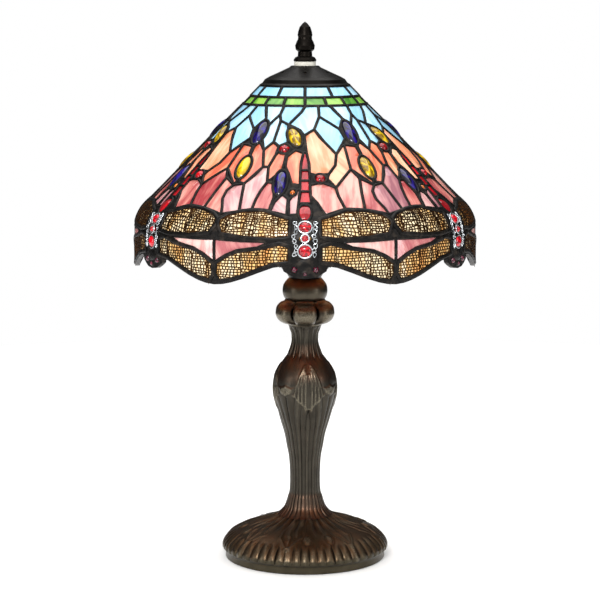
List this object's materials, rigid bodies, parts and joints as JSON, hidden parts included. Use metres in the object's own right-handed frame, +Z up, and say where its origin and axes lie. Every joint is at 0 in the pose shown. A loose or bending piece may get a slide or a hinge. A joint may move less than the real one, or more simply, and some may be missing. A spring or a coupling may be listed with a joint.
{
  "type": "stained glass table lamp",
  "caption": "Table lamp with a leaded dragonfly glass shade held by a harp and finial over a cast lotus-leaf base with a screw-in bulb.",
  "frame": {"origin": "centre of the base's underside, on the surface that the lamp stands on", "axes": "+Z up along the lamp's axis, one dragonfly faces -Y, the cord inlet and the switch knob face +Y"},
  "size_m": [0.3096, 0.314, 0.492],
  "materials": {
    "felt": "pressed wool felt",
    "foot_bronze": "antique bronze patina, burnished on the high spots",
    "rubber_black": "moulded",
    "stem_bronze": "antique bronze patina",
    "collar_bronze": "antique bronze patina",
    "knop_bronze": "antique bronze patina, smooth",
    "cup_bronze": "antique bronze patina",
    "zinc_steel": "zinc plated",
    "harp_brass": "satin",
    "socket_brass": "satin",
    "fibre_liner": "pressed fibre",
    "contact_brass": "bright",
    "phenolic": "moulded",
    "bulb_insulator": "vitrified",
    "bulb_cap_metal": "bright",
    "bulb_glass": "frosted inside",
    "bulb_filament": "clear, with a filament",
    "cap_bronze": "antique bronze patina, polished",
    "nylon": "natural",
    "lead": "dark patina on solder",
    "crown_glass": "opalescent",
    "green_glass": "streaky opalescent",
    "blue_glass": "opalescent",
    "cream_glass": "streaky opalescent",
    "peach_glass": "streaky opalescent",
    "coral_glass": "streaky opalescent",
    "rose_glass": "streaky opalescent",
    "mauve_glass": "streaky opalescent",
    "wing_glass": "opalescent amber",
    "wing_gap_glass": "streaky opalescent",
    "filigree_brass": "pierced sheet, dark patina",
    "body_glass": "clear red",
    "filigree_silver": "bright tinned wire",
    "thorax_jewel": "pressed jewel",
    "eye_jewel": "pressed jewel",
    "purple_jewel": "pressed jewel",
    "yellow_jewel": "pressed jewel",
    "red_jewel": "pressed jewel",
    "amber_jewel": "pressed jewel",
    "finial_bronze": "antique bronze patina"
  },
  "bodies": {
    "base": {"felt_pad": "felt", "foot_casting": "foot_bronze", "cord_grommet": "rubber_black", "stem_casting": "stem_bronze", "lobed_collar": "collar_bronze", "ball_knop": "knop_bronze", "socket_cup": "cup_bronze", "threaded_tube": "zinc_steel", "base_washer": "zinc_steel", "base_nut": "zinc_steel", "harp_saddle": "harp_brass", "harp": "harp_brass", "harp_rest": "harp_brass", "harp_stud": "harp_brass", "socket_cap": "socket_brass", "socket_shell": "socket_brass", "socket_liner": "fibre_liner", "screw_shell": "contact_brass", "centre_contact": "contact_brass", "switch_body": "phenolic"},
    "switch_knob": {"switch_knob": "phenolic"},
    "sleeve_left": {"harp_sleeve_left": "harp_brass"},
    "sleeve_right": {"harp_sleeve_right": "harp_brass"},
    "bulb_base": {"bulb_contact": "bulb_insulator"},
    "bulb": {"bulb_cap": "bulb_cap_metal", "bulb_envelope": "bulb_glass", "bulb_stem": "bulb_filament"},
    "shade": {"shade_cap": "cap_bronze", "cap_ring": "socket_brass", "cap_washer": "nylon", "lead_came": "lead", "crown_glass": "crown_glass", "green_band_glass": "green_glass", "blue_petal_glass": "blue_glass", "cream_petal_glass": "cream_glass", "peach_petal_glass": "peach_glass", "coral_petal_glass": "coral_glass", "rose_petal_glass": "rose_glass", "mauve_petal_glass": "mauve_glass", "wing_glass": "wing_glass", "wing_gap_glass": "wing_gap_glass", "wing_filigree": "filigree_brass", "body_glass": "body_glass", "body_filigree": "filigree_silver", "thorax_jewels": "thorax_jewel", "eye_jewels": "eye_jewel", "purple_jewels": "purple_jewel", "yellow_jewels": "yellow_jewel", "red_jewels": "red_jewel", "amber_jewels": "amber_jewel"},
    "finial_insert": {"finial_insert": "harp_brass"},
    "finial": {"finial": "finial_bronze"}
  },
  "joints": [
    {"name": "shade_swivel", "type": "hinge", "parent": "base", "child": "shade", "pos_m": [0, 0, 0.451], "axis": [0, 0, 1], "continuous": true},
    {"name": "switch_turn", "type": "hinge", "parent": "base", "child": "switch_knob", "pos_m": [0, 0.02, 0.284], "axis": [0, 1, 0], "continuous": true},
    {"name": "sleeve_left_slide", "type": "slide", "parent": "base", "child": "sleeve_left", "axis": [0, 0, 1], "range_m": [0, 0.014]},
    {"name": "sleeve_right_slide", "type": "slide", "parent": "base", "child": "sleeve_right", "axis": [0, 0, 1], "range_m": [0, 0.014]},
    {"name": "bulb_rise", "type": "slide", "parent": "base", "child": "bulb_base", "axis": [0, 0, 1], "range_m": [0, 0.01815]},
    {"name": "bulb_turn", "type": "hinge", "parent": "bulb_base", "child": "bulb", "pos_m": [0, 0, 0.31], "axis": [0, 0, 1], "range_deg": [0, 1800]},
    {"name": "finial_rise", "type": "slide", "parent": "base", "child": "finial_insert", "axis": [0, 0, 1], "range_m": [0, 0.01881]},
    {"name": "finial_turn", "type": "hinge", "parent": "finial_insert", "child": "finial", "pos_m": [0, 0, 0.47], "axis": [0, 0, 1], "range_deg": [0, 7200]}
  ],
  "couplings": [
    {"joint": "bulb_rise", "follows": "bulb_turn", "m_per_rad": 0.00057757},
    {"joint": "finial_rise", "follows": "finial_turn", "m_per_rad": 0.00014961}
  ]
}
